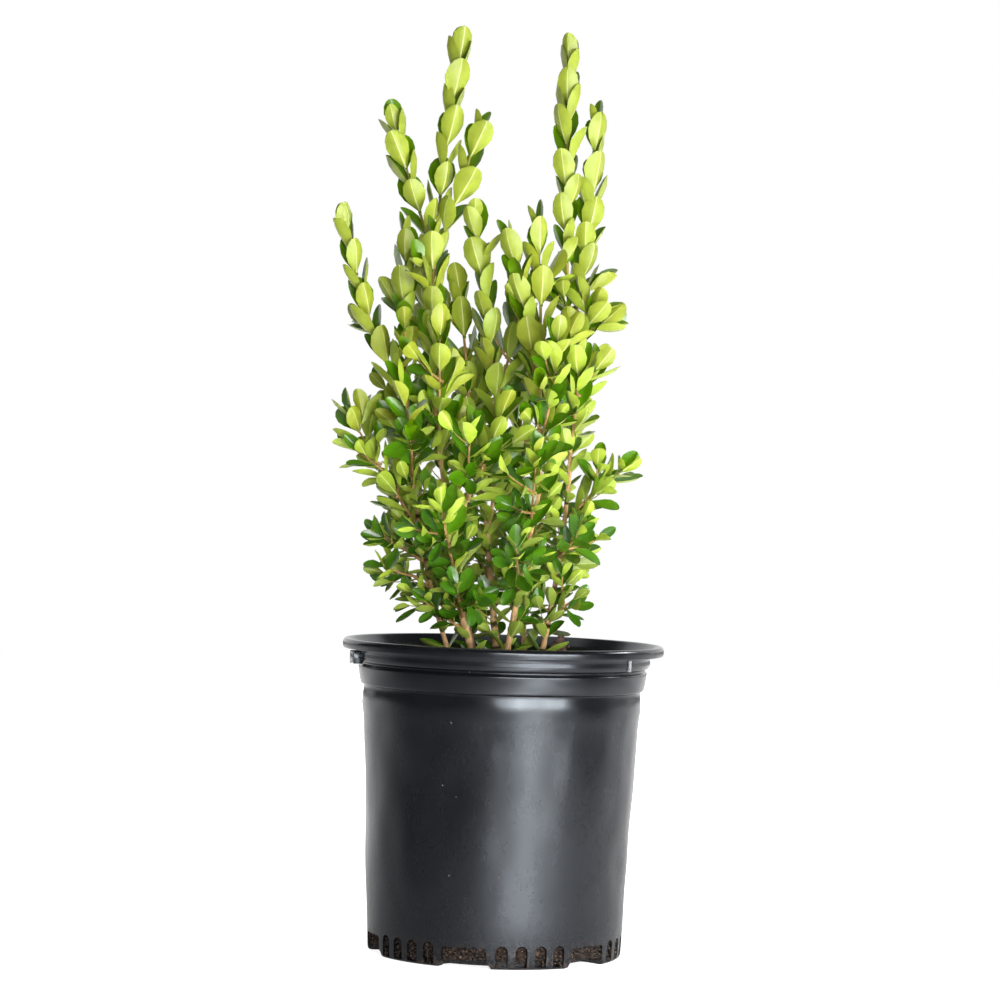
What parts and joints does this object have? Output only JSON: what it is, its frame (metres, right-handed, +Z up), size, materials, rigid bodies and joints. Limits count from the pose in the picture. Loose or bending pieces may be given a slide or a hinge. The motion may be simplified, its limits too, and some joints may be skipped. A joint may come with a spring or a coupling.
{
  "type": "potted wintergreen boxwood",
  "caption": "Young evergreen boxwood shrub with upright leafy shoots, growing in a round black plastic nursery pot with a rolled rim and drain slots at its foot.",
  "frame": {"origin": "middle of the pot's flat underside, on the surface it stands on", "axes": "+Z up along the pot's axis, -Z out of the flat underside, -Y toward the front that the picture shows"},
  "size_m": [0.1782, 0.165, 0.4737],
  "materials": {
    "black_plastic": "black blow-moulded plastic with a soft sheen",
    "potting_mix": "rough brown bark and peat mix",
    "bark": "tan young bark, brown and finely cracked at the foot",
    "low_leaf": "dark green glossy leaves with paler undersides",
    "top_leaf": "yellow-green young leaves with pale matt undersides"
  },
  "bodies": {
    "root": {"pot": "black_plastic", "soil": "potting_mix", "stem_left": "bark", "stem_fork": "bark", "stem_centre": "bark", "stem_inner": "bark", "stem_right": "bark", "stem_back": "bark", "stem_back_left": "bark", "bough_leader": "bark", "bough_fork": "bark", "bough_centre": "bark", "bough_middle": "bark", "bough_inner": "bark", "bough_right": "bark", "leaves_left_top": "top_leaf", "leaves_left_upper": "top_leaf", "leaves_left_side": "low_leaf", "leaves_left_front": "low_leaf", "leaves_left_back": "low_leaf", "leaves_left_low": "low_leaf", "leaves_left_lowest": "low_leaf", "leaves_left_low_back": "low_leaf", "leaves_foot_left": "low_leaf", "leaves_foot_front": "low_leaf", "leaves_fork_low": "low_leaf", "leaves_leader_top": "top_leaf", "leaves_leader_left": "top_leaf", "leaves_leader_right": "top_leaf", "leaves_leader_front": "low_leaf", "leaves_leader_face": "top_leaf", "leaves_leader_back": "top_leaf", "leaves_fork_top": "low_leaf", "leaves_fork_front": "low_leaf", "leaves_centre_low": "low_leaf", "leaves_centre_top": "top_leaf", "leaves_centre_back": "low_leaf", "leaves_middle_top": "top_leaf", "leaves_middle_side": "top_leaf", "leaves_inner_top": "top_leaf", "leaves_inner_left": "top_leaf", "leaves_inner_face": "low_leaf", "leaves_inner_front": "low_leaf", "leaves_inner_low": "low_leaf", "leaves_right_top": "top_leaf", "leaves_right_side": "top_leaf", "leaves_right_spur": "top_leaf", "leaves_right_mid": "low_leaf", "leaves_right_back": "low_leaf", "leaves_right_reach": "low_leaf", "leaves_right_low": "low_leaf", "leaves_right_low_back": "low_leaf", "leaves_foot_right": "low_leaf", "leaves_back_top": "top_leaf", "leaves_back_right": "low_leaf", "leaves_back_low": "low_leaf", "leaves_back_left_top": "low_leaf", "leaves_back_left": "low_leaf", "leaves_back_left_low": "low_leaf"}
  },
  "joints": []
}
